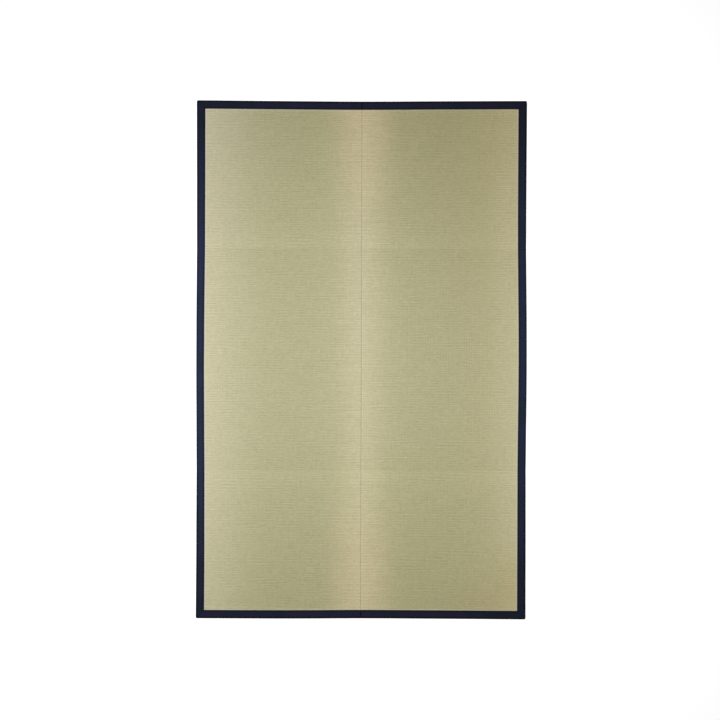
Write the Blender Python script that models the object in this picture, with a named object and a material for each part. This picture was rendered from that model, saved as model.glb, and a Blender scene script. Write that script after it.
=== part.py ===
"""A rush rug: two woven rush panels side by side, bound all round with a folded cotton tape.

Lengths are in metres and +Z is up. The rug lies on z = 0 with its middle over the origin and its
length along Y. Its head is at +Y and its left side at -X.
"""

import math
from typing import NamedTuple

import bmesh
import bpy
import numpy as np

MM = 0.001

# The rug as a whole
RUG_WIDTH = 1.910
RUG_LENGTH = 3.000
HALF_WIDTH = RUG_WIDTH / 2
HALF_LENGTH = RUG_LENGTH / 2
PIECE_GAP = 0.3 * MM

# The woven rush
RUSH_THICKNESS = 3.0 * MM
RIB_PITCH = 15 * MM
RIB_DEPTH = 0.5 * MM
SELVEDGE_TOP = (5.0 * MM, 1.3 * MM)  # how far in the rounding reaches, and how far it drops
SELVEDGE_UNDER = (2.0 * MM, 0.7 * MM)
SELVEDGE_STEPS = 3
RUSH_COLOUR = (0.462, 0.418, 0.248)
RUSH_ROUGHNESS = 0.62

# The binding tape, folded over each edge of the panels
TAPE_THICKNESS = 1.0 * MM
TAPE_FOLD_RADIUS = 1.8 * MM
TAPE_FOLD_STEPS = 2
TAPE_LIP = 0.6 * MM
UNDER_FACE = 40 * MM  # how far the tape reaches in under the rush
HEAD_FACE = 44.7 * MM  # how far it reaches in on top, at each end of the rug
FOOT_FACE = 45.9 * MM
TAPE_COLOUR = (0.0176, 0.0194, 0.0452)
TAPE_ROUGHNESS = 0.85

# The rush rises onto the tape's lower side between these distances from the rug's edge
SEAT_HEIGHT = TAPE_THICKNESS + PIECE_GAP
SEAT_START = 85 * MM
SEAT_FULL = 47 * MM
BOUND_HEIGHT = SEAT_HEIGHT + RUSH_THICKNESS + PIECE_GAP + TAPE_THICKNESS
RUSH_END = HALF_LENGTH - 7 * MM  # where the rush is cut, inside the folded tape

# How the rug lies: two old fold lines rest on the floor, and the rug springs up on both sides of each
FOLD_Y = 643 * MM
FOLD_HALF = 15 * MM
FOLD_PRESS = 0.6 * MM
SPRING_REACH = 90 * MM  # the distance from a fold line within which most of the rise comes
SPRING_STEPS = (60 * MM, 160 * MM)  # where the rise has sections of its own
MIDDLE_RISE = 4.5 * MM
FLAP_RISE = 5.0 * MM
MIDDLE_END = FOLD_Y - FOLD_HALF
FLAP_START = FOLD_Y + FOLD_HALF
FLAP_END = HALF_LENGTH - SEAT_START
FLAP_STEP = 0.72  # how far out the flap has one more section, as a share of its length

# The dip of the end bindings over the seam between the panels
SEAM_HALF = 5 * MM
SEAM_DIP = 0.5 * MM


class SideRow(NamedTuple):
    """The long edges at one place along the rug, in millimetres."""

    place: float
    left_out: float
    right_out: float
    left_face: float
    right_face: float


class EndRow(NamedTuple):
    """The two ends at one place across the rug, in millimetres."""

    place: float
    head_out: float
    foot_out: float


# How far each edge stands out from a straight line, and how wide the binding shows beside it
SIDE_ROWS = (
    SideRow(place=-1500, left_out=0.0, right_out=0.3, left_face=43.5, right_face=46.0),
    SideRow(place=-1100, left_out=-2.2, right_out=-0.8, left_face=42.5, right_face=45.0),
    SideRow(place=-643, left_out=-2.6, right_out=-1.4, left_face=41.0, right_face=44.2),
    SideRow(place=0, left_out=0.7, right_out=2.4, left_face=40.5, right_face=43.8),
    SideRow(place=760, left_out=-1.0, right_out=-2.7, left_face=42.0, right_face=44.6),
    SideRow(place=1500, left_out=2.4, right_out=0.6, left_face=44.6, right_face=46.2),
)
END_ROWS = (
    EndRow(place=-955, head_out=0.0, foot_out=0.0),
    EndRow(place=-350, head_out=-3.8, foot_out=0.2),
    EndRow(place=0, head_out=-5.0, foot_out=-2.2),
    EndRow(place=430, head_out=-2.0, foot_out=-1.1),
    EndRow(place=955, head_out=1.3, foot_out=1.3),
)

SIDES = {"left": -1, "right": 1}
ENDS = {"foot": -1, "head": 1}
END_FACES = {"foot": FOOT_FACE, "head": HEAD_FACE}


def between(rows, column, place):
    """The value of a column at a place between the rows, in metres."""
    places = [row.place * MM for row in rows]
    values = [getattr(row, column) * MM for row in rows]
    return float(np.interp(place, places, values))


def side_line(side, y):
    """How far the rug's long edge is from the middle at y."""
    return HALF_WIDTH + between(SIDE_ROWS, side + "_out", y)


def side_face(side, y):
    """How wide the binding of a long edge shows at y."""
    return between(SIDE_ROWS, side + "_face", y)


def end_line(end, x):
    """How far the rug's end is from the middle at x."""
    return HALF_LENGTH + between(END_ROWS, end + "_out", x)


def spring(from_fold):
    """How much of its rise the rug has made at a distance from a fold line."""
    return 1 - math.exp(-from_fold / SPRING_REACH)


def lift(y):
    """How high the rug's underside lies over the floor at y."""
    reach = abs(y)
    if reach < MIDDLE_END:
        return MIDDLE_RISE * spring(MIDDLE_END - reach)
    if FLAP_START < reach < FLAP_END:
        outward = (reach - FLAP_START) / (FLAP_END - FLAP_START)
        return FLAP_RISE * spring(reach - FLAP_START) * (1 - outward**2)
    return 0.0


def fold_press(y):
    """How far a fold line is pressed into the top at y."""
    return FOLD_PRESS * max(0.0, 1 - abs(abs(y) - FOLD_Y) / FOLD_HALF)


def seam_dip(x):
    """How far the end bindings dip over the seam at x."""
    return SEAM_DIP * max(0.0, 1 - abs(x) / SEAM_HALF)


def seat(from_edge):
    """How far the rush has risen onto the tape at a distance from the rug's edge."""
    share = (SEAT_START - from_edge) / (SEAT_START - SEAT_FULL)
    return SEAT_HEIGHT * min(1.0, max(0.0, share))


def stations():
    """The places along the rug where every lengthwise piece has a section."""
    half = [MIDDLE_END - step for step in reversed(SPRING_STEPS)]
    half += [MIDDLE_END, FOLD_Y, FLAP_START]
    half += [FLAP_START + step for step in SPRING_STEPS]
    half += [FLAP_START + FLAP_STEP * (FLAP_END - FLAP_START), FLAP_END]
    half.append(HALF_LENGTH - SEAT_FULL)
    return [-y for y in reversed(half)] + [0.0] + half


def quarter_round(reach, drop, steps):
    """Steps of a quarter ellipse, as (distance still to go in, drop so far)."""
    angles = [math.pi / 2 * step / steps for step in range(steps + 1)]
    return [(reach * (1 - math.sin(angle)), drop * (1 - math.cos(angle))) for angle in angles]


def panel_section():
    """A flat panel's outline, as (distance from the rug's edge, height over its underside)."""
    outer = TAPE_THICKNESS + PIECE_GAP
    inner = HALF_WIDTH - PIECE_GAP / 2
    ribs = round((inner - outer) / RIB_PITCH)
    pitch = (inner - outer) / ribs
    outline = []
    for rib in range(ribs):
        outline.append((outer + rib * pitch, RUSH_THICKNESS - RIB_DEPTH))
        outline.append((outer + (rib + 0.5) * pitch, RUSH_THICKNESS))
    top = quarter_round(*SELVEDGE_TOP, SELVEDGE_STEPS)
    outline += [(inner - away, RUSH_THICKNESS - drop) for away, drop in top]
    under = quarter_round(*SELVEDGE_UNDER, SELVEDGE_STEPS)
    outline += [(inner - away, drop) for away, drop in reversed(under)]
    return outline + [(SEAT_START, 0.0), (SEAT_FULL, 0.0), (outer, 0.0)]


def panel_ring(side, y):
    """A panel's outline where it lies at y."""
    spread = side_line(side, y) / HALF_WIDTH
    pressed = 1 - fold_press(y) / RUSH_THICKNESS
    ring = []
    for from_edge, height in panel_section():
        x = SIDES[side] * (HALF_WIDTH - from_edge) * spread
        raised = seat(min(from_edge, HALF_LENGTH - abs(y)))
        ring.append((x, y, height * pressed + raised + lift(y)))
    return ring


def tape_section(face):
    """The folded tape's outline, as (distance from the rug's edge, height)."""
    height, thick, lip = BOUND_HEIGHT, TAPE_THICKNESS, TAPE_LIP
    fold = quarter_round(TAPE_FOLD_RADIUS, TAPE_FOLD_RADIUS, TAPE_FOLD_STEPS)
    outline = [(face, height - thick), (face, height - lip / 2), (face - lip, height)]
    outline += [(away, height - drop) for away, drop in fold]
    outline += [(away, drop) for away, drop in reversed(fold)]
    outline += [(UNDER_FACE, 0.0), (UNDER_FACE, thick)]
    return outline + [(thick, thick), (thick, height - thick)]


def side_ring(side, y):
    """The outline of a long edge's binding at y."""
    pressed = 1 - fold_press(y) / BOUND_HEIGHT
    ring = []
    for from_edge, height in tape_section(side_face(side, y)):
        x = SIDES[side] * (side_line(side, y) - from_edge)
        ring.append((x, y, height * pressed + lift(y)))
    return ring


def end_ring(end, x):
    """The outline of an end's binding at x."""
    pressed = 1 - seam_dip(x) / BOUND_HEIGHT
    ring = []
    for from_edge, height in tape_section(END_FACES[end]):
        ring.append((x, ENDS[end] * (end_line(end, x) - from_edge), height * pressed))
    return ring


def mitre_ring(side, end, of_side):
    """The slanted end of a long edge's binding, or of an end's, where the two meet."""
    corner_y = ENDS[end] * HALF_LENGTH
    side_width, end_width = side_face(side, corner_y), END_FACES[end]
    slope = end_width / side_width
    clear = PIECE_GAP / 2 * math.hypot(1, slope)
    ring = []
    for from_edge, height in tape_section(side_width if of_side else end_width):
        from_side = from_edge if of_side else from_edge / slope + clear / slope
        from_end = from_edge * slope + clear if of_side else from_edge
        x = SIDES[side] * (side_line(side, corner_y) - from_side)
        ring.append((x, ENDS[end] * (end_line(end, x) - from_end), height))
    return ring


def new_finish(name, colour, roughness):
    """A plain finish of one colour."""
    finish = bpy.data.materials.new(name)
    finish.use_nodes = True
    surface = finish.node_tree.nodes["Principled BSDF"]
    surface.inputs["Base Color"].default_value = (*colour, 1)
    surface.inputs["Roughness"].default_value = roughness
    surface.inputs["Metallic"].default_value = 0
    finish.diffuse_color = (*colour, 1)
    return finish


def loft(name, rings, place):
    """One closed body through rings of equal count, with its origin at a place."""
    shape = bmesh.new()
    loops = [[shape.verts.new(np.subtract(point, place)) for point in ring] for ring in rings]
    for here, there in zip(loops, loops[1:]):
        for i in range(len(here)):
            shape.faces.new((here[i - 1], here[i], there[i], there[i - 1]))
    shape.faces.new(loops[0])
    shape.faces.new(loops[-1])
    bmesh.ops.recalc_face_normals(shape, faces=shape.faces)
    mesh = bpy.data.meshes.new(name)
    shape.to_mesh(mesh)
    shape.free()
    mesh.shade_smooth()
    mesh.set_sharp_from_angle(angle=math.radians(35))
    piece = bpy.data.objects.new(name, mesh)
    piece.location = place
    return piece


def make_panel(side):
    """One woven rush panel."""
    places = [-RUSH_END, *stations(), RUSH_END]
    rings = [panel_ring(side, y) for y in places]
    piece = loft("panel_" + side, rings, (SIDES[side] * HALF_WIDTH / 2, 0, 0))
    piece.data.materials.append(new_finish(side + " rush", RUSH_COLOUR, RUSH_ROUGHNESS))
    return piece


def make_side_binding(side):
    """The tape over one long edge, mitred at both ends."""
    rings = [mitre_ring(side, "foot", True)]
    rings += [side_ring(side, y) for y in stations()]
    rings.append(mitre_ring(side, "head", True))
    piece = loft("binding_" + side, rings, (SIDES[side] * HALF_WIDTH, 0, 0))
    piece.data.materials.append(new_finish(side + " tape", TAPE_COLOUR, TAPE_ROUGHNESS))
    return piece


def make_end_binding(end):
    """The tape over one end, mitred at both sides and dipped over the seam."""
    bends = {row.place * MM for row in END_ROWS[1:-1]}
    corners = {-(HALF_WIDTH - SEAT_FULL), HALF_WIDTH - SEAT_FULL}
    places = sorted(bends | corners | {-SEAM_HALF, SEAM_HALF})
    rings = [mitre_ring("left", end, False)]
    rings += [end_ring(end, x) for x in places]
    rings.append(mitre_ring("right", end, False))
    piece = loft("binding_" + end, rings, (0, ENDS[end] * HALF_LENGTH, 0))
    piece.data.materials.append(new_finish(end + " tape", TAPE_COLOUR, TAPE_ROUGHNESS))
    return piece


def clear_scene():
    """Remove whatever the scene holds."""
    for thing in list(bpy.data.objects):
        bpy.data.objects.remove(thing)


def main():
    """Build the rug in a collection of its own, under one empty."""
    clear_scene()
    collection = bpy.data.collections.new("rush_rug")
    bpy.context.scene.collection.children.link(collection)
    middle = bpy.data.objects.new("rush_rug_middle", None)
    collection.objects.link(middle)
    pieces = [make_panel(side) for side in SIDES]
    pieces += [make_side_binding(side) for side in SIDES]
    pieces += [make_end_binding(end) for end in ENDS]
    for piece in pieces:
        collection.objects.link(piece)
        piece.parent = middle


main()
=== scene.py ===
"""The looks of a rush rug: two ribbed rush panels, the navy tape folded round them and its sewing.

Lengths are in metres and +Z is up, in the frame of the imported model. The rug lies on z = 0 with its
middle over the origin and its length along Y. Its head is at +Y and its left side at -X.
"""

import logging
import math
from collections.abc import Callable
from dataclasses import dataclass
from enum import Enum
from functools import partial

import bmesh
import bpy
import numpy as np
from bpy.types import Material, NodeSocket, NodeTree, Object
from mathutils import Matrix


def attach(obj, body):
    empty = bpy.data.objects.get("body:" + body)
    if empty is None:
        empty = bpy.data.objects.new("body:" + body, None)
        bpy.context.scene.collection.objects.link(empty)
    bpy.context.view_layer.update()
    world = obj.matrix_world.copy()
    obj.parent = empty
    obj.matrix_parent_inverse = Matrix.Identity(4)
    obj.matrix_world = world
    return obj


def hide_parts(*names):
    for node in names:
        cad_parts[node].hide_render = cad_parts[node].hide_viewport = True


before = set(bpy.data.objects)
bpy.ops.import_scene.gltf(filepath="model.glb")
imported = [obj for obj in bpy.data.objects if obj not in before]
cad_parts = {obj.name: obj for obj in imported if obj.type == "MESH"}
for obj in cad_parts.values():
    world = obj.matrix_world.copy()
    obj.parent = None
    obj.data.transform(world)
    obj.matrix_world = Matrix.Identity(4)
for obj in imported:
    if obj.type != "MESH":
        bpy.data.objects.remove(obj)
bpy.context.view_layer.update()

log = logging.getLogger("rush_rug")

MM = 0.001
BODY = "root"

# Settings that several shader nodes share
MULTIPLY = {"operation": "MULTIPLY"}
MULTIPLY_ADD = {"operation": "MULTIPLY_ADD"}
SOFT = {"interpolation_type": "SMOOTHSTEP"}
PAINTS = {"data_type": "RGBA", "out": 2}

Array = np.ndarray
Span = tuple[float, float]
Triple = tuple[float, float, float]
Numbers = tuple[float, ...]
AddNode = Callable[..., NodeSocket | None]


class Side(Enum):
    """A long side of the rug, as the sign of its x."""

    LEFT = -1
    RIGHT = 1


class End(Enum):
    """An end of the rug, as the sign of its y."""

    FOOT = -1
    HEAD = 1


Edge = Side | End


def soft_step(value: Array, low: Array | float, high: Array | float) -> Array:
    """A smooth step, 0 up to the low value and 1 from the high one on."""
    share = np.clip((value - low) / (high - low), 0, 1)
    return share * share * (3 - 2 * share)


def quarter_curve(away: Array, start: float, reach: float, rise: float) -> Array:
    """The rise of a folded edge: a quarter ellipse, upright at its start and level from its reach on."""
    share = (reach - np.clip(away, start, reach)) / (reach - start)
    return rise * np.sqrt(1 - share**2)


def curve_stops(start: float, reach: float, steps: int) -> Array:
    """Distances of even steps round a quarter curve, from its level end to its upright one."""
    turns = np.linspace(0, math.pi / 2, steps + 1)
    return reach - (reach - start) * np.sin(turns)


@dataclass(frozen=True)
class EdgeTable:
    """A measure of one edge of the rug, in millimetres, at places along it, in millimetres too."""

    places: Numbers
    values: Numbers

    def at(self, place: Array) -> Array:
        """The measure where the table has no row, flowing smoothly from row to row.

        Args:
            place: places along the edge, in metres.

        Returns:
            The measure there, in metres.
        """
        rows, values = np.array([self.places, self.values]) * MM
        slopes = np.gradient(values, rows)
        here = np.clip(np.searchsorted(rows, place) - 1, 0, len(rows) - 2)
        step = rows[here + 1] - rows[here]
        share = np.clip((place - rows[here]) / step, 0, 1)
        rising = soft_step(share, 0, 1)
        leaving = share * (1 - share) ** 2 * step * slopes[here]
        arriving = share * share * (1 - share) * step * slopes[here + 1]
        return values[here] * (1 - rising) + values[here + 1] * rising + leaving - arriving


SIDE_PLACES = (-1500, -1100, -643, 0, 760, 1500)
END_PLACES = (-955, -350, 0, 430, 955)

# How far each edge stands out from a straight line
EDGE_OUT = {
    Side.LEFT: EdgeTable(SIDE_PLACES, (0.0, -2.2, -2.6, 0.7, -1.0, 2.4)),
    Side.RIGHT: EdgeTable(SIDE_PLACES, (0.3, -0.8, -1.4, 2.4, -2.7, 0.6)),
    End.FOOT: EdgeTable(END_PLACES, (0.5, 0.7, -1.7, -0.6, 1.8)),
    End.HEAD: EdgeTable(END_PLACES, (0.0, -3.8, -5.0, -2.0, 1.3)),
}

# How wide the tape shows on top along each edge
FACE_WIDTH = {
    Side.LEFT: EdgeTable(SIDE_PLACES, (48.3, 47.3, 45.7, 45.2, 47.3, 49.8)),
    Side.RIGHT: EdgeTable(SIDE_PLACES, (49.4, 48.4, 47.6, 47.2, 48.0, 49.6)),
    End.FOOT: EdgeTable(END_PLACES, (48.9, 49.1, 49.4, 49.4, 49.4)),
    End.HEAD: EdgeTable(END_PLACES, (48.5,) * 5),
}


@dataclass(frozen=True)
class Ripple:
    """A gentle unevenness: a few long waves that cross each other."""

    seed: int
    shortest: float
    longest: float
    waves: int = 9

    def at(self, x: Array, y: Array) -> Array:
        """How far the surface is out of true.

        Args:
            x: places across the rug.
            y: places along it.

        Returns:
            Heights with a mean near 0 and a spread near 1.
        """
        draw = np.random.default_rng(self.seed)
        total = np.zeros(np.broadcast(x, y).shape)
        for _ in range(self.waves):
            heading, start = draw.uniform(0, 2 * math.pi, 2)
            turns = 2 * math.pi / draw.uniform(self.shortest, self.longest)
            total += np.sin((x * math.cos(heading) + y * math.sin(heading)) * turns + start)
        return total / math.sqrt(self.waves / 2)


@dataclass(frozen=True)
class RugLie:
    """How the rug lies: its edges, the two old fold lines it rests on and its springing up from them."""

    half_width: float = 955 * MM
    half_length: float = 1500 * MM
    corner_round: float = 9 * MM
    fold_y: float = 643 * MM
    fold_half: float = 15 * MM
    fold_depth: float = 0.6 * MM
    spring_reach: float = 90 * MM
    middle_rise: float = 4.5 * MM
    flap_rise: float = 5.0 * MM
    seat_height: float = 1.3 * MM
    seat_start: float = 85 * MM
    seat_full: float = 47 * MM
    fold_steps: Numbers = (0, 3, 6, 9, 12, 15, 19, 24, 32, 42, 56, 76, 100)  # in millimetres
    ripple: Ripple = Ripple(seed=5, shortest=0.22, longest=0.55)
    ripple_share: float = 0.12

    def half(self, edge: Edge) -> float:
        """How far an edge's straight line is from the rug's middle."""
        return self.half_width if isinstance(edge, Side) else self.half_length

    def line(self, edge: Edge, along: Array) -> Array:
        """How far an edge is from the rug's middle at places along it."""
        return self.half(edge) + EDGE_OUT[edge].at(along)

    def place(self, edge: Edge, along: Array, away: Array) -> tuple[Array, Array]:
        """The x and y of points at distances in from an edge, with the rug's corners rounded."""
        out = edge.value * (self.line(edge, along) - away)
        return self.round_corner(out, along) if isinstance(edge, Side) else self.round_corner(along, out)

    def round_corner(self, x: Array, y: Array) -> tuple[Array, Array]:
        """Draw the points near a corner of the rug in to a rounded one.

        Args:
            x: the points' x.
            y: the points' y.

        Returns:
            Their x and y afterwards.
        """
        side = np.where(x < 0, self.line(Side.LEFT, y), self.line(Side.RIGHT, y))
        end = np.where(y < 0, self.line(End.FOOT, x), self.line(End.HEAD, x))
        from_side = np.maximum(self.corner_round - (side - np.abs(x)), 0)
        from_end = np.maximum(self.corner_round - (end - np.abs(y)), 0)
        near = (from_side > 0) & (from_end > 0)
        reach = np.where(near, np.hypot(from_side, from_end), 1)
        draw_in = np.where(near, 1 - np.maximum(from_side, from_end) / reach, 0)
        return x - np.sign(x) * from_side * draw_in, y - np.sign(y) * from_end * draw_in

    def lift(self, x: Array, y: Array) -> Array:
        """How high the rug's underside lies over the floor.

        Args:
            x: places across the rug.
            y: places along it.

        Returns:
            Heights over the floor.
        """
        reach = np.abs(y)
        inner, outer = self.fold_y - self.fold_half, self.fold_y + self.fold_half
        flap_end = self.half_length - self.seat_start
        middle = 1 - np.exp(-np.maximum(inner - reach, 0) / self.spring_reach)
        flap = 1 - np.exp(-np.maximum(reach - outer, 0) / self.spring_reach)
        outward = np.clip((reach - outer) / (flap_end - outer), 0, 1)
        rise = self.middle_rise * middle + self.flap_rise * flap * (1 - outward**2)
        return rise * (1 + self.ripple_share * self.ripple.at(x, y))

    def press(self, y: Array) -> Array:
        """How far the old fold lines are pressed into the top at y."""
        near = np.clip(1 - np.abs(np.abs(y) - self.fold_y) / self.fold_half, 0, 1)
        return self.fold_depth * soft_step(near, 0, 1)

    def seat(self, away: Array) -> Array:
        """How far the rush has risen onto the tape at a distance from the rug's edge."""
        return self.seat_height * (1 - soft_step(away, self.seat_full, self.seat_start))

    def fold_rows(self) -> list[float]:
        """Places near a fold line where every lengthwise piece has rows of its own."""
        steps = np.array(self.fold_steps) * MM
        return [*(self.fold_y - steps), *(self.fold_y + steps)]


def linear(hex_colour: str) -> tuple[float, float, float, float]:
    """The linear red, green and blue of an sRGB colour such as "#1D283E", with full alpha."""
    parts = np.array([int(hex_colour[place:place + 2], 16) for place in (1, 3, 5)]) / 255
    return (*np.where(parts <= 0.04045, parts / 12.92, ((parts + 0.055) / 1.055) ** 2.4).tolist(), 1.0)


def add_node(
    tree: NodeTree, kind: str, feeds: dict | tuple, out: str | int = 0, **settings: object
) -> NodeSocket | None:
    """Add one node with its settings and links.

    Args:
        tree: the node tree.
        kind: Blender's name for the kind of node, without the ShaderNode that all of them start with.
        feeds: what goes into each input, by its name or number or in the inputs' order: a socket to link,
            or a value to set.
        out: the name or number of the output that is wanted.
        settings: the node's own settings.

    Returns:
        The output, or None where the node has none.
    """
    made = tree.nodes.new("ShaderNode" + kind)
    for name, value in settings.items():
        setattr(made, name, value)
    for name, value in feeds.items() if isinstance(feeds, dict) else enumerate(feeds):
        if isinstance(value, NodeSocket):
            tree.links.new(value, made.inputs[name])
        else:
            made.inputs[name].default_value = value
    return made.outputs[out] if made.outputs else None


def new_material(name: str) -> tuple[Material, AddNode]:
    """A material with nothing in it yet.

    Args:
        name: the material's name.

    Returns:
        The material, and what adds a node to it.
    """
    material = bpy.data.materials.new(name)
    material.use_nodes = True
    material.node_tree.nodes.clear()
    return material, partial(add_node, material.node_tree)


@dataclass(frozen=True)
class Stain:
    """Where the rush has changed colour: the distances at which it starts and is full, and its share."""

    colour: str
    from_seam: Span
    from_middle: Span
    share: float


@dataclass(frozen=True)
class Places:
    """Where a point of the rug is, as sockets of one material."""

    point: NodeSocket
    x: NodeSocket
    y: NodeSocket
    from_seam: NodeSocket
    from_middle: NodeSocket


@dataclass(frozen=True)
class WovenRush:
    """Dried rush, one stem wide, woven across cotton warps.

    A stem is pale straw at its root and tip and khaki green between, so both sides of a panel are pale.
    Drying leaves each stem its own shade and a thin satin skin. Beating the weave packs the stems into
    short raised floats, every second one on a rib and staggered from rib to rib.
    """

    khaki: str = "#ABA781"
    straw: str = "#C5BD97"
    bleached: str = "#C8C8C4"
    faded_left: Stain = Stain("#D6D6C8", (0.5, 0.955), (2.0, 1.9), 0.14)
    faded_right: Stain = Stain("#D6D6C8", (0.68, 0.86), (1.25, 0.95), 0.105)
    tanned: Stain = Stain("#E4C5AD", (0.25, 0.05), (0.6, 1.5), 0.2)
    dusty: Stain = Stain("#B2AE98", (0.1, 0.02), (1.1, 0.8), 0.2)
    # Each of these darkens and tints the rush towards one corner, the first as painted shade where the light
    # falls off towards the head's right: where it heads, starts and is full, and its colour
    shade_and_tint_washes: tuple[tuple[Triple, Span, str], ...] = (
        ((0.8, 0.6, 0), (0.1, 1.55), "#F4F1E3"),
        ((0.5, -0.6, 0), (-0.2, 1.1), "#FCFCF2"),
        ((0.5, -0.6, 0), (1.0, 1.25), "#FDF8F4"),
    )
    brightness: float = 1.003
    roughness: float = 0.58
    ior: float = 1.45
    gloss: float = 0.35
    relief: float = 0.7
    bundle_height: float = 0.6
    stem_height: float = 0.25
    rib_pitch: float = 14.9 * MM
    float_pitch: float = 5.2 * MM  # two stems of 2.6 mm, since every second one is up on each rib
    float_depth: float = 0.25 * MM
    float_share: float = 0.08
    own_share: float = 0.1
    # A stem is finer than a pixel of the render, so the stems' shades are drawn in bundles of four,
    # row by row, from rib to rib and along the ribs, then in soft blotches and as each stem's fine
    # grooves: each pattern's size across and along the rug, and its share of the shade
    patches: tuple[Triple, ...] = (
        (180 * MM, 10 * MM, 0.11),
        (30 * MM, 10 * MM, 0.15),
        (9 * MM, 80 * MM, 0.13),
        (140 * MM, 90 * MM, 0.04),
        (25 * MM, 0.6 * MM, 0.14),
    )
    # The beaten rows stand in threes and sway a little, and they and the painted shade in the grooves
    # between the ribs show more in some places
    row_pitch: float = 15.0 * MM
    row_sway: float = 14.0
    sway_patch: Span = (833.33 * MM, 90.909 * MM)
    row_shares: Span = (0.0, 0.075)
    groove_shade_shares: Span = (-0.01, -0.05)
    groove_narrowness: float = 40.0
    stripe_patch: float = 55 * MM
    stripe_spread: Span = (0.35, 0.65)
    # Painted shade with some dust in the seam's groove, and a painted highlight on the lip to its right: two
    # distances from the seam, and the change of shade at each
    seam_dust_and_shade: Numbers = (0.5 * MM, 5 * MM, -0.18, 0)
    right_lip_highlight: Numbers = (4 * MM, 13 * MM, 0.06, 0)
    # Painted light just outside each old fold: half the width of its step, and how far and how strongly it
    # reaches
    fold_edge: float = 4 * MM
    fold_light_reach: float = 150 * MM
    fold_light_share: float = 0.032
    # How much of the straw shows, from the stem's end at the rug's edge to its end at the seam, and how
    # much the bundles' pale ends differ in length
    straw_shares: tuple[Span, ...] = (
        (0.0, 1.0), (0.08, 0.96), (0.19, 0.5), (0.38, 0.16), (0.6, 0.0), (0.81, 0.12), (0.92, 0.58),
        (1.0, 0.95),
    )
    straw_ragged: float = 0.08

    def material(self, side: Side, lie: RugLie) -> Material:
        """The rush of one panel.

        Args:
            side: the panel's side of the rug.
            lie: how the rug lies.

        Returns:
            The material.
        """
        material, node = new_material(f"panel_{side.name.lower()} woven rush")
        point = node("TexCoord", {}, out="Object")
        x, y = (node("SeparateXYZ", (point,), out=axis) for axis in "XY")
        at = Places(point, x, y, *(node("Math", (axis,), operation="ABSOLUTE") for axis in (x, y)))
        shade, height, rows = self.weave(node, at)
        tone = self.tone(node, at, rows, side, lie.half_width)

        # Painted light just outside each old fold, painted shade with some dust in the seam's groove, and a
        # painted highlight on the lip to its right
        fold = lie.fold_y - self.fold_edge, lie.fold_y + self.fold_edge
        paler_limits = lie.fold_y, lie.fold_y + self.fold_light_reach, self.fold_light_share, 0
        outside, fold_light = (node("MapRange", (at.from_middle, *limits), **SOFT) for limits in (fold, paler_limits))
        shade = node("Math", (outside, fold_light, shade), **MULTIPLY_ADD)
        for limits in (self.seam_dust_and_shade, self.right_lip_highlight)[:2 if side is Side.RIGHT else 1]:
            lip = node("MapRange", (at.from_seam, *limits), **SOFT)
            shade = node("Math", (shade, lip), operation="ADD")

        tinted = node("VectorMath", {0: tone, "Scale": shade}, operation="SCALE")
        relief = {"Height": height, "Strength": self.relief, "Distance": self.float_depth}
        skin = node("BsdfPrincipled", {
            "Base Color": tinted, "Normal": node("Bump", relief), "Roughness": self.roughness,
            "IOR": self.ior, "Specular IOR Level": self.gloss,
        })
        node("OutputMaterial", {"Surface": skin})
        return material

    def weave(self, node: AddNode, at: Places) -> tuple[NodeSocket, NodeSocket, NodeSocket]:
        """The stems' own shades, the beaten rows, the ribs and the raised floats.

        Args:
            node: what adds a node.
            at: where the point is.

        Returns:
            The shade, the height, and the pattern of the rows of bundles.
        """
        shade = self.brightness - sum(share for _, _, share in self.patches) / 2
        bundles = []
        for across, along, share in self.patches:
            spot = node("VectorMath", (at.point, (1 / across, 1 / along, 0)), **MULTIPLY)
            bundles.append(node("TexNoise", {"Vector": spot, "Scale": 1.0, "Detail": 1.0}))
            shade = node("Math", (bundles[-1], share, shade), **MULTIPLY_ADD)

        # The beaten rows, and painted shade in the grooves between the ribs
        patch = {"Vector": at.point, "Scale": 1 / self.stripe_patch, "Detail": 0.0}
        shown = node("TexNoise", patch)
        across, along = self.sway_patch
        spot = node("VectorMath", (at.point, (1 / across, 1 / along, 0)), **MULTIPLY)
        sway = node("TexNoise", {"Vector": spot, "Scale": 1.0, "Detail": 0.0})
        sway = node("Math", (sway, self.row_sway), **MULTIPLY)
        turn = node("Math", (at.y, 2 * math.pi / self.row_pitch, sway), **MULTIPLY_ADD)
        row = node("Math", (turn,), operation="SINE")
        turn = node("Math", (at.x, math.pi / self.rib_pitch), **MULTIPLY)
        groove = node("Math", (node("Math", (turn,), operation="COSINE"),), operation="ABSOLUTE")
        groove = node("Math", (groove, self.groove_narrowness), operation="POWER")
        for stripe, shares in ((row, self.row_shares), (groove, self.groove_shade_shares)):
            there = node("MapRange", (shown, *self.stripe_spread, *shares))
            shade = node("Math", (stripe, there, shade), **MULTIPLY_ADD)

        # The floats, each with a shade of its own, and without what they add to the shade on average
        rib = node("Math", (node("Math", (at.x, self.rib_pitch), operation="DIVIDE"),), operation="FLOOR")
        step = node("Math", (at.y, self.float_pitch), operation="DIVIDE")
        step = node("Math", (rib, 0.5, step), **MULTIPLY_ADD)
        turn = node("Math", (step, math.pi), **MULTIPLY)
        height = node("Math", (node("Math", (turn,), operation="SINE"),), operation="ABSOLUTE")
        cell = node("CombineXYZ", (rib, node("Math", (step,), operation="FLOOR")))
        own = node("TexWhiteNoise", {"Vector": cell}, noise_dimensions="2D")
        for pattern, share in ((height, self.float_share), (own, self.own_share)):
            shade = node("Math", (pattern, share, shade), **MULTIPLY_ADD)
        mean = 0.64 * self.float_share + 0.5 * self.own_share
        shade = node("Math", (shade, mean), operation="SUBTRACT")
        for pattern, share in ((bundles[1], self.bundle_height), (bundles[-1], self.stem_height)):
            height = node("Math", (pattern, share, height), **MULTIPLY_ADD)
        return shade, height, bundles[0]

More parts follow.
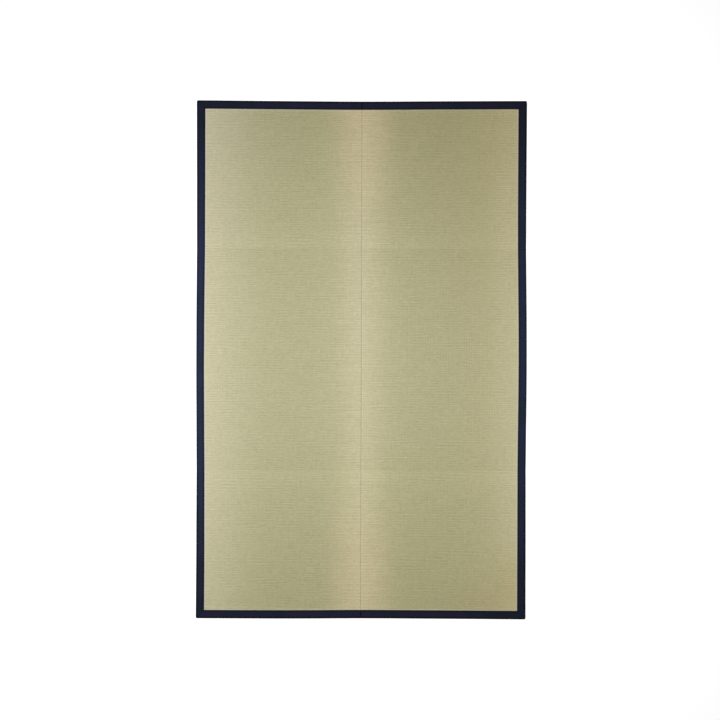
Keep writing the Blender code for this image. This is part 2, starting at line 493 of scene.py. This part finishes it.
    def tone(self, node: AddNode, at: Places, rows: NodeSocket, side: Side, width: float) -> NodeSocket:
        """The rush's colour, from its pale ends to its green middle, as it has aged, and with painted shade
        towards the head's right.

        Args:
            node: what adds a node.
            at: where the point is.
            rows: the pattern by which the bundles' pale ends differ in length.
            side: the panel's side of the rug.
            width: the panel's width.

        Returns:
            The colour.
        """
        across = node("Math", (at.x, -side.value / width, 1 - self.straw_ragged / 2), **MULTIPLY_ADD)
        across = node("Math", (rows, self.straw_ragged, across), **MULTIPLY_ADD)
        ramp = node("ValToRGB", (across,))
        ramp.node.color_ramp.interpolation = "B_SPLINE"
        stops = ramp.node.color_ramp.elements
        while len(stops) < len(self.straw_shares):
            stops.new(0.5)
        for stop, (share, amount) in zip(stops, self.straw_shares):
            stop.position = share
            stop.color = (amount, amount, amount, 1)
        tone = node("Mix", {0: ramp, 6: linear(self.khaki), 7: linear(self.straw)}, **PAINTS)

        # It is bleached beside the tape, faded towards its edge, dusty in the seam and tanned at the seam's
        # ends. Painted shade darkens it towards the head's right, and it is darker and more golden towards
        # the foot's right
        bleach = node("Attribute", {}, out="Fac", attribute_name="bleach")
        tone = node("Mix", {0: bleach, 6: tone, 7: linear(self.bleached)}, **PAINTS)
        faded = self.faded_left if side is Side.LEFT else self.faded_right
        for stain in (faded, self.dusty, self.tanned):
            share = stain.share
            for far, limits in ((at.from_seam, stain.from_seam), (at.from_middle, stain.from_middle)):
                share = node("Math", (node("MapRange", (far, *limits), **SOFT), share), **MULTIPLY)
            tone = node("Mix", {0: share, 6: tone, 7: linear(stain.colour)}, **PAINTS)
        for heading, limits, colour in self.shade_and_tint_washes:
            far = node("VectorMath", (at.point, heading), out="Value", operation="DOT_PRODUCT")
            share = node("MapRange", (far, *limits), **SOFT)
            tone = node("Mix", {0: share, 6: tone, 7: linear(colour)}, blend_type="MULTIPLY", **PAINTS)
        return tone


@dataclass(frozen=True)
class CottonTape:
    """Cotton tape, closely woven, piece-dyed navy and pressed flat.

    It is matt, with a little fuzz that lightens it at a glancing angle. The dye took a little bluer in
    some places and more violet in others. Painted shade makes it deepest along the folded edge and in the
    creases, and darker and greyer along the turned-under inner edge where it lies on the rush.
    """

    navy: str = "#1D283E"
    violet_navy: str = "#272549"
    fold_shade_navy: str = "#04050A"
    lip_shade_grey: str = "#1A1B1B"
    roughness: float = 0.9
    ior: float = 1.46
    sheen: float = 0.08
    violet_on_sides: Span = (0.0, 0.4)
    violet_on_ends: Span = (0.2, 1.0)
    dye_patch: float = 110 * MM
    dye_spread: Span = (0.4, 0.6)
    slub: float = 4 * MM
    least_shade: float = 0.7
    shares: Triple = (0.4, 0.2, 0.15)  # how much the dye's patches, the slubs and the weave add to it
    # The middles of the long edges are paler than the ends, and the left, as painted light on the lamp's
    # side, paler than the right: two distances from the middle, and the share of the shade that is left at
    # each
    paler_limits: Numbers = (0.5, 1.7, 1.0, 0.44)
    left_light_slope: float = 0.13
    # The threads are 0.5 mm apart, too fine to show even close by, so they are drawn three times as coarse
    thread_pitch: float = 1.5 * MM
    thread_depth: float = 0.12 * MM
    slub_height: float = 1.5
    relief: float = 0.6
    gloss: float = 0.15
    fuzz_roughness: float = 0.6

    def material(self, edge: Edge) -> Material:
        """The tape of one edge.

        Args:
            edge: the edge.

        Returns:
            The material.
        """
        material, node = new_material(edge.name.lower() + " cotton tape")
        place = node("TexCoord", {}, out="Object")
        patches = node("TexNoise", {"Vector": place, "Scale": 1 / self.dye_patch, "Detail": 2.0})
        violet = self.violet_on_sides if isinstance(edge, Side) else self.violet_on_ends
        share = node("MapRange", (patches, *self.dye_spread, *violet))
        dye = node("Mix", {0: share, 6: linear(self.navy), 7: linear(self.violet_navy)}, **PAINTS)
        # Painted shade along the folded edge, in the creases and along the turned-under lip
        for name, colour in (("painted_fold_shade", self.fold_shade_navy), ("painted_lip_shade", self.lip_shade_grey)):
            share = node("Attribute", {}, out="Fac", attribute_name=name)
            dye = node("Mix", {0: share, 6: dye, 7: linear(colour)}, **PAINTS)

        # Warp and weft cross over and under each other
        turns = node("VectorMath", {0: place, "Scale": 2 * math.pi / self.thread_pitch}, operation="SCALE")
        waves = node("VectorMath", (turns,), operation="SINE")
        warp, weft = (node("SeparateXYZ", (waves,), out=axis) for axis in "XY")
        weave = node("Math", (warp, weft), **MULTIPLY)
        slubs = node("TexNoise", {"Vector": place, "Scale": 1 / self.slub, "Detail": 1.0})
        shade = self.least_shade
        for pattern, share in zip((patches, slubs, weave), self.shares):
            shade = node("Math", (pattern, share, shade), **MULTIPLY_ADD)
        # Paler in the middles of the long edges than at the ends, and painted light on the left, the lamp's
        # side
        x, y = (node("SeparateXYZ", (place,), out=axis) for axis in "XY")
        paler = node("Math", (x, -self.left_light_slope, 1.0), **MULTIPLY_ADD)
        from_middle = node("Math", (y,), operation="ABSOLUTE")
        for light in (paler, node("MapRange", (from_middle, *self.paler_limits), **SOFT)):
            shade = node("Math", (shade, light), **MULTIPLY)
        tinted = node("VectorMath", {0: dye, "Scale": shade}, operation="SCALE")
        height = node("Math", (slubs, self.slub_height, weave), **MULTIPLY_ADD)
        relief = {"Height": height, "Strength": self.relief, "Distance": self.thread_depth}
        skin = node("BsdfPrincipled", {
            "Base Color": tinted, "Normal": node("Bump", relief), "Roughness": self.roughness,
            "IOR": self.ior, "Specular IOR Level": self.gloss, "Sheen Weight": self.sheen,
            "Sheen Roughness": self.fuzz_roughness,
        })
        node("OutputMaterial", {"Surface": skin})
        return material


@dataclass(frozen=True)
class CottonThread:
    """Twisted cotton sewing thread in the tape's own navy, a little lighter for its gloss."""

    navy: str = "#2E334C"
    roughness: float = 0.6
    twist_pitch: float = 1.885 * MM
    twist_depth: float = 0.1 * MM
    twist_share: float = 0.2
    least_shade: float = 0.9
    relief: float = 0.5

    def material(self, edge: Edge) -> Material:
        """The thread of one line of stitches.

        Args:
            edge: the edge that it runs along.

        Returns:
            The material.
        """
        material, node = new_material(edge.name.lower() + " cotton thread")
        place = node("TexCoord", {}, out="Object")
        # A diagonal wave of scale 1 comes round every pi / 5
        bands = {"out": "Fac", "wave_type": "BANDS", "bands_direction": "DIAGONAL"}
        size = math.pi / 5 / self.twist_pitch
        twist = node("TexWave", {"Vector": place, "Scale": size}, **bands)
        shade = node("Math", (twist, self.twist_share, self.least_shade), **MULTIPLY_ADD)
        tinted = node("VectorMath", {0: linear(self.navy)[:3], "Scale": shade}, operation="SCALE")
        relief = {"Height": twist, "Strength": self.relief, "Distance": self.twist_depth}
        feeds = {"Base Color": tinted, "Normal": node("Bump", relief), "Roughness": self.roughness}
        skin = node("BsdfPrincipled", feeds)
        node("OutputMaterial", {"Surface": skin})
        return material


@dataclass(frozen=True)
class StudioPaper:
    """Smooth matt white backdrop paper, lit until it shows as plain white."""

    white: str = "#F2F2F2"
    roughness: float = 0.95
    gloss: float = 0.1
    glow: float = 0.5

    def material(self) -> Material:
        """The paper.

        Returns:
            The material.
        """
        material, node = new_material("backdrop paper")
        skin = node("BsdfPrincipled", {
            "Base Color": linear(self.white), "Roughness": self.roughness, "Specular IOR Level": self.gloss,
            "Emission Color": (1, 1, 1, 1), "Emission Strength": self.glow,
        })
        node("OutputMaterial", {"Surface": skin})
        return material


def new_piece(
    name: str, points: Array, faces: list[list[int]], material: Material, **marks: Array
) -> Object:
    """A smooth piece from points and faces, all facing outwards.

    Args:
        name: the piece's name.
        points: its points.
        faces: the points of each face.
        material: its finish.
        marks: numbers to keep with the points, in their order.

    Returns:
        The object, in the scene.
    """
    mesh = bpy.data.meshes.new(name)
    mesh.from_pydata(points.reshape(-1, 3).tolist(), [], faces)
    shape = bmesh.new()
    shape.from_mesh(mesh)
    bmesh.ops.recalc_face_normals(shape, faces=shape.faces)
    shape.to_mesh(mesh)
    shape.free()
    mesh.shade_smooth()
    mesh.materials.append(material)
    for mark, values in marks.items():
        kept = mesh.attributes.new(mark, "FLOAT", "POINT")
        kept.data.foreach_set("value", np.ravel(values).astype(np.float32))
    piece = bpy.data.objects.new(name, mesh)
    bpy.context.scene.collection.objects.link(piece)
    return piece


def loft_faces(rings: int, around: int) -> list[list[int]]:
    """The faces of a closed body through rings of points.

    Args:
        rings: how many rings there are.
        around: how many points each has.

    Returns:
        The points of each face, with one face over each end.
    """
    index = np.arange(rings * around).reshape(rings, around)
    ahead = np.roll(index, -1, axis=1)
    quads = np.stack([index[:-1], ahead[:-1], ahead[1:], index[1:]], axis=-1).reshape(-1, 4)
    return [*quads.tolist(), index[0].tolist(), index[-1].tolist()]


@dataclass
class RushPanel:
    """One woven length of rush, its ribs along the rug, from under the tape to the seam."""

    side: Side
    lie: RugLie
    finish: WovenRush
    thickness: float = 3.0 * MM
    ribs: int = 64
    rib_depth: float = 0.5 * MM
    rib_fullness: float = 0.7
    rib_stops: Numbers = (0, 0.14, 0.36, 0.64, 0.86)
    under_rib_depth: float = 0.3 * MM
    rib_start: float = 1.3 * MM
    seam_gap: float = 0.02 * MM
    selvedge_top: Span = (5.0 * MM, 1.3 * MM)
    selvedge_under: Span = (2.0 * MM, 0.7 * MM)
    edge_height: float = 2.4 * MM  # the middle of the folded edge, over the floor
    edge_start: float = 2.0 * MM
    edge_top_reach: float = 9 * MM
    edge_under_reach: float = 5 * MM
    # The ribs wander in waves: radians to a metre, radians to a rib, and the two panels' difference
    wander: float = 0.5 * MM
    wander_waves: tuple[Triple, ...] = ((7.9, 0.9, 0), (13.3, -0.6, 1))
    wander_in: Span = (50 * MM, 90 * MM)
    wander_out: Span = (915 * MM, 945 * MM)
    row_step: float = 30 * MM
    row_clear: float = 115 * MM  # how far even rows keep from the ends and the folds
    end_rows: Numbers = (100, 92, 85, 78, 71, 66, 61, 57, 54, 51, 49, 47, 45, 42, 30, 18)  # in millimetres
    end_reach: float = 200 * MM  # how far from an end its unevenness is taken up
    # The distances from the tape between which the bleaching fades out, and how strong it is beside it
    side_bleach: Triple = (2 * MM, 14 * MM, 0.6)
    end_bleach: Triple = (1 * MM, 10 * MM, 0.45)

    @property
    def pitch(self) -> float:
        """The distance from rib to rib."""
        return (self.lie.half_width - self.seam_gap / 2 - self.rib_start) / self.ribs

    def rib_height(self, away: Array) -> Array:
        """How far the top is below its highest at a distance from the edge, between ribs."""
        share = (away - self.rib_start) / self.pitch
        return self.rib_depth * (1 - np.abs(np.sin(math.pi * share)) ** self.rib_fullness)

    def section(self) -> tuple[Array, Array, Array]:
        """The panel's outline across its width, flat.

        Returns:
            Each point's distance from the rug's edge, its height over the underside, and whether it is
            on the top.
        """
        inner = self.lie.half_width - self.seam_gap / 2
        (top_reach, top_drop), (under_reach, under_drop) = self.selvedge_top, self.selvedge_under
        shares = np.arange(self.ribs)[:, None] + np.array(self.rib_stops)
        ribs = self.rib_start + shares.ravel() * self.pitch
        ribs = ribs[(ribs > self.edge_top_reach + MM) & (ribs < inner - top_reach - MM / 2)]
        halves = self.rib_start + np.arange(self.ribs * 2)[::-1] / 2 * self.pitch
        halves = halves[(halves < inner - under_reach - MM) & (halves > self.edge_under_reach + MM)]
        valley = np.abs(np.cos(math.pi * (halves - self.rib_start) / self.pitch))

        turns = np.linspace(0, math.pi / 2, 6)
        ease, drop = 1 - np.sin(turns), 1 - np.cos(turns)
        top = np.concatenate([curve_stops(self.edge_start, self.edge_top_reach, 6)[::-1], ribs])
        selvedge = inner - top_reach * ease
        fade = self.rib_height(selvedge) * np.linspace(1, 0, len(turns))
        under_nose = curve_stops(self.edge_start, self.edge_under_reach, 4)[:-1]
        runs = (
            (top, self.thickness - self.rib_height(top)),
            (selvedge, self.thickness - top_drop * drop - fade),
            (inner - under_reach * ease[::2][::-1], under_drop * drop[::2][::-1]),
            (halves, self.under_rib_depth * valley),
            (under_nose, np.zeros(len(under_nose))),
        )
        away, height = (np.concatenate(parts) for parts in zip(*runs))
        return away, height, np.arange(len(away)) < len(top) + len(selvedge)

    def rows(self) -> Array:
        """Distances of the rows from the rug's middle, from foot to head, before the ends are drawn in."""
        length = self.lie.half_length
        nose = curve_stops(self.edge_start + 0.2 * MM, self.edge_top_reach, 5)
        seat = np.array(self.end_rows) * MM
        fine = np.array([*self.lie.fold_rows(), *(length - seat), *(length - nose)])
        even = np.arange(self.row_step, length - self.row_clear, self.row_step)
        even = even[np.abs(even - self.lie.fold_y) > self.row_clear]
        half = np.sort(np.concatenate([fine, even]))
        return np.array([*-half[::-1], 0, *half])

    def points(self) -> tuple[Array, Array]:
        """The panel's points where it lies.

        Returns:
            The points by row, place in the outline and axis, and how bleached the rush is at each.
        """
        away, height, is_top = self.section()
        rows = self.rows()
        lie, side = self.lie, self.side
        away, rows = np.broadcast_arrays(away[None, :], rows[:, None])
        end_away = lie.half_length - np.abs(rows)
        spread = lie.line(side, rows) / lie.half_width
        loose = soft_step(away, *self.wander_in) * (1 - soft_step(away, *self.wander_out))
        rib = away / self.pitch
        wander = sum(np.sin(rows * a + rib * b + side.value * c) for a, b, c in self.wander_waves)
        x = side.value * (lie.half_width - away + self.wander * loose * wander / 2) * spread
        drawn_in = soft_step(np.abs(rows), lie.half_length - self.end_reach, lie.half_length - lie.seat_full)
        head, foot = EDGE_OUT[End.HEAD].at(x), EDGE_OUT[End.FOOT].at(x)
        y = rows + drawn_in * np.where(rows > 0, head, -foot)
        x, y = lie.round_corner(x, y)

        edge = np.minimum(away, end_away)
        pressed = 1 - lie.press(rows) / self.thickness
        z = height[None, :] * np.where(is_top, pressed, 1) + lie.seat(edge)
        rise = self.thickness + lie.seat_height - self.edge_height
        over = self.edge_height + quarter_curve(edge, self.edge_start, self.edge_top_reach, rise)
        fall = self.edge_height - lie.seat_height
        below = self.edge_height - quarter_curve(edge, self.edge_start, self.edge_under_reach, fall)
        z = np.where(is_top, np.minimum(z, over), np.maximum(z, np.where(edge < lie.seat_full, below, 0)))
        points = np.stack([x, y, z + lie.lift(x, y)], axis=-1)
        end = np.where(rows > 0, FACE_WIDTH[End.HEAD].at(x), FACE_WIDTH[End.FOOT].at(x))
        (*sides, side_most), (*ends, end_most) = self.side_bleach, self.end_bleach
        beside = side_most * (1 - soft_step(away - FACE_WIDTH[side].at(rows), *sides))
        return points, np.maximum(beside, end_most * (1 - soft_step(end_away - end, *ends)))

    def build(self) -> Object:
        """Weave the panel and dress it.

        Returns:
            The panel's object.
        """
        word = self.side.name.lower()
        points, bleach = self.points()
        material = self.finish.material(self.side, self.lie)
        faces = loft_faces(*points.shape[:2])
        piece = new_piece("rush_" + word, points, faces, material, bleach=bleach)
        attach(piece, BODY)
        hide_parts("panel_" + word)
        return piece


@dataclass
class TapeBinding:
    """The tape folded over one edge of the rug, mitred at both ends and sewn through."""

    edge: Edge
    lie: RugLie
    finish: CottonTape
    height: float = 5.6 * MM
    thickness: float = 1.0 * MM
    gap: float = 0.02 * MM
    edge_height: float = 2.4 * MM
    top_reach: float = 9 * MM
    under_reach: float = 5 * MM
    under_short: float = 1.0 * MM  # how much less of the tape shows below than on top
    stitch_line: float = 3.0 * MM  # how far the sewing is from the inner edge
    swell: float = 0.3 * MM
    swell_reach: float = 2.2 * MM
    under_groove: float = 0.45 * MM
    pucker: float = 0.12 * MM
    pucker_ripple: Ripple = Ripple(seed=11, shortest=0.02, longest=0.06)
    seam_dip: float = 0.9 * MM
    seam_half: float = 4 * MM
    mitre_dip: float = 0.35 * MM
    # In millimetres: rows of points beside the seam, and the outline's points in from the lips
    seam_rows: Numbers = (1, 2, 3, 4, 6)
    top_stops: Numbers = (1.4, 2.2, 3.0, 3.8, 5.0, 7.0)
    under_stops: Numbers = (0.9, 1.4, 2.0, 2.6, 3.4)
    row_step: float = 10 * MM
    sewn_reach: float = 0.9 * MM
    mitre_reach: float = 3 * MM
    corner_reach: float = 60 * MM
    corner_steps: Numbers = (0.2, 0.4, 0.6, 0.75, 0.86, 0.93, 0.97, 0.99, 1.0)
    cut_width: float = 90 * MM
    # The distances between which the painted shade at the fold, the seam, a mitre and the turned-under lip
    # stops showing. A long edge's fold shade shows less from the second distance along it to the first, by
    # the middle's share.
    fold_tone: Span = (6 * MM, 11 * MM)
    seam_tone: Span = (2 * MM, 6 * MM)
    mitre_tone: Span = (0.5 * MM, 4 * MM)
    lip_tone: Span = (5 * MM, 15 * MM)
    long_tone: Span = (0.4, 1.1)
    middle_share: float = 0.55
    mitre_share: float = 0.5

    def width(self, along: Array) -> Array:
        """How wide the tape shows on top at places along the edge."""
        return FACE_WIDTH[self.edge].at(along)

    def end_width(self, corner: Edge) -> Array:
        """How wide the tape shows where it meets the next edge's."""
        return self.width(np.asarray(corner.value * self.lie.half(corner)))

    def outline(self) -> tuple[Array, Array, Array]:
        """The folded tape's outline.

        Returns:
            Each point's distance from the edge, as a fixed part and a share of the tape's width there,
            and its face: 0 for the top, 1 below, 2 inside below and 3 inside the top.
        """
        lip = self.thickness / 2 * np.array([0, 0.14, 0.5, 1])
        between = np.array([0.8, 0.6, 0.4, 0.2])
        layers = (
            (0, self.top_stops, self.top_reach, 8),
            (self.under_short, self.under_stops, self.under_reach, 5),
        )
        sheets = []
        for short, stops, reach, steps in layers:
            near = -short - np.concatenate([lip, np.array(stops) * MM])
            middle = reach * (1 - between) + near[-1] * between
            for skip, start in ((0, 0), (1, self.thickness)):
                fold = curve_stops(start, reach, steps)
                fixed = np.concatenate([near[skip:], middle, fold])
                share = np.concatenate([np.ones(len(near) - skip), between, np.zeros(len(fold))])
                sheets.append(np.array([fixed, share]))
        top, inside_top, under, inside_under = sheets
        runs = top, under[:, -2::-1], inside_under, inside_top[:, -2::-1]
        fixed, share = np.concatenate(runs, axis=1)
        return fixed, share, np.repeat(range(4), [run.shape[1] for run in runs])

    def over(self, along: Array, away: Array) -> Array:
        """The height of the tape's top over the rug's own lie at distances in from its edge."""
        rise = quarter_curve(away, 0, self.top_reach, self.height - self.edge_height)
        return self.edge_height + rise + self.ease(along, away)

    def ease(self, along: Array, away: Array) -> Array:
        """How far the top layer stands off the rush, sunk where the sewing holds it.

        Args:
            along: places along the edge.
            away: distances in from it.

        Returns:
            Heights.
        """
        from_sewing = self.width(along) - away - self.stitch_line
        swell = self.swell * (1 - np.exp(-((from_sewing / self.swell_reach) ** 2)))
        tight = np.exp(-((from_sewing / (3 * self.swell_reach)) ** 2))
        pucker = self.pucker * tight * self.pucker_ripple.at(along, 2 * away + self.edge.value)
        eased = (swell + pucker) * np.clip(away / self.top_reach, 0, 1)
        if isinstance(self.edge, End):
            eased = eased - self.seam_dip * np.clip(1 - np.abs(along) / self.seam_half, 0, 1) ** 1.5
        return eased

    def mitre(self, corner: Edge, away: Array) -> Array:
        """Where the tape is cut to its mitre with the tape of the next edge.

        Args:
            corner: the next edge.
            away: distances in from this edge.

        Returns:
            Places along this edge.
        """
        other = FACE_WIDTH[corner].at(np.asarray(self.edge.value * self.lie.half(self.edge)))
        slope = other / self.end_width(corner)
        from_corner = away * slope + self.gap / 2 * math.hypot(1, slope)
        end = corner.value * self.lie.half(corner)
        across = self.edge.value * (self.lie.line(self.edge, np.asarray(end)) - away)
        return corner.value * (self.lie.line(corner, across) - from_corner)

    def corners(self) -> tuple[Edge, Edge]:
        """The next edges, at the low and at the high end of this one."""
        return (End.FOOT, End.HEAD) if isinstance(self.edge, Side) else (Side.LEFT, Side.RIGHT)

    def points(self) -> tuple[Array, dict[str, Array]]:
        """The tape's points where it lies.

        Returns:
            The points by row, place in the outline and axis, and how much painted shade each has at the
            folded edge and creases and along the turned-under lip.
        """
        lie = self.lie
        straight = lie.half(self.corners()[0]) - self.corner_reach
        half = np.arange(self.row_step, straight, self.row_step)
        if isinstance(self.edge, Side):
            clear = np.abs(half - lie.fold_y) > lie.fold_steps[-1] * MM
            half = np.sort(np.concatenate([half[clear], lie.fold_rows()]))
        else:
            half = np.concatenate([np.array(self.seam_rows) * MM, half])
        fixed, share, face = self.outline()
        middle = np.array([-straight, *-half[::-1], 0, *half, straight])
        rows = [np.repeat(middle[:, None], len(fixed), axis=1)]
        dips = [np.zeros(rows[0].shape)]
        for corner in self.corners():
            start = corner.value * straight
            cut = self.mitre(corner, fixed + share * self.end_width(corner))
            turned = start + (cut - start) * np.array(self.corner_steps)[:, None]
            far = np.abs(cut)
            rows.append(turned[::corner.value])
            dips.append(self.mitre_dip * soft_step(np.abs(rows[-1]), far - self.mitre_reach, far))
        along, dip = (np.concatenate([parts[1], parts[0], parts[2]]) for parts in (rows, dips))

        away = fixed + share * self.width(along)
        from_lip = self.width(along) - away
        lip, under_lip = self.lip(from_lip), self.lip(from_lip - self.under_short)
        ease = self.ease(along, away) - dip
        sewn = np.exp(-(((from_lip - self.stitch_line) / self.sewn_reach) ** 2))
        level, starts = self.edge_height, (0, self.thickness)
        top, inside_top = (
            level + quarter_curve(away, start, self.top_reach, self.height - level - start) + ease
            for start in starts
        )
        under, inside_under = (
            level - quarter_curve(away, start, self.under_reach, level - start) for start in starts
        )
        under = under + np.maximum(under_lip, self.under_groove * sewn)
        z = np.choose(face, [top - lip, under, inside_under - under_lip, inside_top + lip])

        x, y = lie.place(self.edge, along, away)
        pressed = 1 - lie.press(y) / self.height
        points = np.stack([x, y, z * pressed + lie.lift(x, y)], axis=-1)
        # Painted shade along the folded edge, in the seam's crease and at the mitres
        painted_fold_shade = 1 - soft_step(away, *self.fold_tone)
        if isinstance(self.edge, End):
            painted_fold_shade = np.maximum(painted_fold_shade, 1 - soft_step(np.abs(along), *self.seam_tone))
        else:
            least = self.middle_share
            painted_fold_shade = painted_fold_shade * (least + (1 - least) * soft_step(np.abs(along), *self.long_tone))
        from_mitre = np.minimum(np.abs(along - along[:1]), np.abs(along - along[-1:]))
        painted_fold_shade = np.maximum(painted_fold_shade, self.mitre_share * (1 - soft_step(from_mitre, *self.mitre_tone)))
        # Painted shade along the turned-under lip, with the points
        return points, {"painted_fold_shade": painted_fold_shade, "painted_lip_shade": 1 - soft_step(from_lip, *self.lip_tone)}

    def lip(self, from_lip: Array) -> Array:
        """How far each side of the tape rounds over at its turned-under edge."""
        radius = self.thickness / 2
        return radius - quarter_curve(from_lip, 0, radius, radius)

    def build(self) -> Object:
        """Fold the tape over its edge and dress it.

        Returns:
            The tape's object.
        """
        word = self.edge.name.lower()
        points, marks = self.points()
        material = self.finish.material(self.edge)
        faces = loft_faces(*points.shape[:2])
        piece = new_piece("tape_" + word, points, faces, material, **marks)
        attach(piece, BODY)
        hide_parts("binding_" + word)
        flat = (self.cut_width, 2 * self.lie.half(self.corners()[0]))
        return piece


@dataclass
class StitchLine:
    """The line of lockstitch that holds one tape, on top and underneath."""

    tape: TapeBinding
    finish: CottonThread
    pitch: float = 6 * MM
    # The rings of one stitch: each one's place along it, half width, height and half height, in mm
    rings: tuple[Numbers, ...] = (
        (-2.1, 0.15, -0.1, 0.12), (-1.1, 0.4, 0.12, 0.25), (1.1, 0.4, 0.12, 0.25), (2.1, 0.15, -0.1, 0.12),
    )
    sides: int = 5
    end_clear: float = 6 * MM

    def build(self) -> Object:
        """Sew the line.

        Returns:
            The stitches' object.
        """
        tape, edge, lie = self.tape, self.tape.edge, self.tape.lie
        low, high = (float(tape.mitre(corner, tape.end_width(corner))) for corner in tape.corners())
        count = int((high - low - 2 * self.end_clear) / self.pitch)
        middles = low + self.end_clear + self.pitch * (np.arange(count) + 0.5)
        turns = 2 * math.pi * (np.arange(self.sides) / self.sides + 0.25)
        place, width, height, depth = np.array(self.rings).T[:, :, None] * MM
        ring = np.broadcast_arrays(place, width * np.cos(turns), height + depth * np.sin(turns))
        ahead, sideways, raised = (part.ravel() for part in ring)
        along = middles[:, None] + ahead
        away = tape.width(along) - tape.stitch_line + sideways
        x, y = lie.place(edge, along, away)
        lift = lie.lift(x, y)
        pressed = 1 - lie.press(y) / tape.height
        top = np.stack([x, y, tape.over(along, away) * pressed + lift + raised], axis=-1)
        under = np.stack([x, y, tape.under_groove * pressed + lift - raised], axis=-1)
        points = np.stack([top, under])
        one, size = loft_faces(len(self.rings), self.sides), len(ahead)
        faces = [[corner + size * stitch for corner in face] for stitch in range(2 * count) for face in one]
        name = "stitches_" + edge.name.lower()
        piece = new_piece(name, points, faces, self.finish.material(edge))
        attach(piece, BODY)
        return piece


@dataclass
class Studio:
    """A white paper floor, one broad soft light overhead and the camera straight above the rug."""

    paper: StudioPaper
    floor_radius: float = 40.0
    floor_drop: float = 0.3 * MM
    light_place: Triple = (-0.35, -0.04, 3.0)
    light_size: float = 2.0
    light_power: float = 73.0
    sky: float = 0.35
    far: float = 0.82  # how bright the far paper is, and so what the camera sees past it
    picture_width: float = 4.172  # how much of the floor the photograph's width takes in
    picture_pixels: int = 720
    lens: float = 70.0
    sensor: float = 36.0
    rug_right: float = 1.36  # how far the rug's middle is off the photograph's, in its pixels
    rug_up: float = 0.31
    rug_turn: float = 0.17  # how far the rug is turned clockwise in the photograph, in degrees

    def build(self) -> None:
        """Lay the floor, hang the light and set the camera."""
        scene = bpy.context.scene
        turns = np.linspace(0, 2 * math.pi, 96, endpoint=False)
        rim = np.stack([np.cos(turns), np.sin(turns), np.zeros(len(turns))], axis=-1)
        points = rim * self.floor_radius - np.array([0, 0, self.floor_drop])
        floor = new_piece("floor", points, [list(range(len(turns)))], self.paper.material())

        light = bpy.data.lights.new("soft light", "AREA")
        light.shape = "DISK"
        light.size = self.light_size
        light.energy = self.light_power
        lamp = bpy.data.objects.new("soft light", light)
        lamp.location = self.light_place
        lamp.visible_camera = False
        scene.collection.objects.link(lamp)

        world = bpy.data.worlds.new("studio")
        world.use_nodes = True
        world.node_tree.nodes.clear()
        node = partial(add_node, world.node_tree)
        seen = node("LightPath", {}, out="Is Camera Ray")
        strength = node("MapRange", (seen, 0, 1, self.sky, self.far))
        sky = node("Background", {"Color": (1, 1, 1, 1), "Strength": strength})
        node("OutputWorld", {"Surface": sky})
        scene.world = world

        pixel = self.picture_width / self.picture_pixels
        view = bpy.data.cameras.new("camera")
        view.lens = self.lens
        view.sensor_width = self.sensor
        view.clip_end = 100
        camera = bpy.data.objects.new("camera", view)
        distance = self.picture_width * self.lens / self.sensor
        camera.location = (-self.rug_right * pixel, -self.rug_up * pixel, distance)
        camera.rotation_euler = (0, 0, math.radians(self.rug_turn))
        scene.collection.objects.link(camera)
        scene.camera = camera
        scene.view_settings.view_transform = "Standard"


def main() -> None:
    """Set the studio, then weave, bind and sew the rug."""
    logging.basicConfig(level=logging.INFO, format="%(name)s: %(message)s")
    Studio(StudioPaper()).build()
    lie = RugLie()
    parts = [RushPanel(side, lie, WovenRush()) for side in Side]
    for edge in (*Side, *End):
        tape = TapeBinding(edge, lie, CottonTape())
        parts += [tape, StitchLine(tape, CottonThread())]
    for part in parts:
        piece = part.build()
        log.info("%s: %d faces", piece.name, len(piece.data.polygons))


if __name__ == "__main__":
    main()
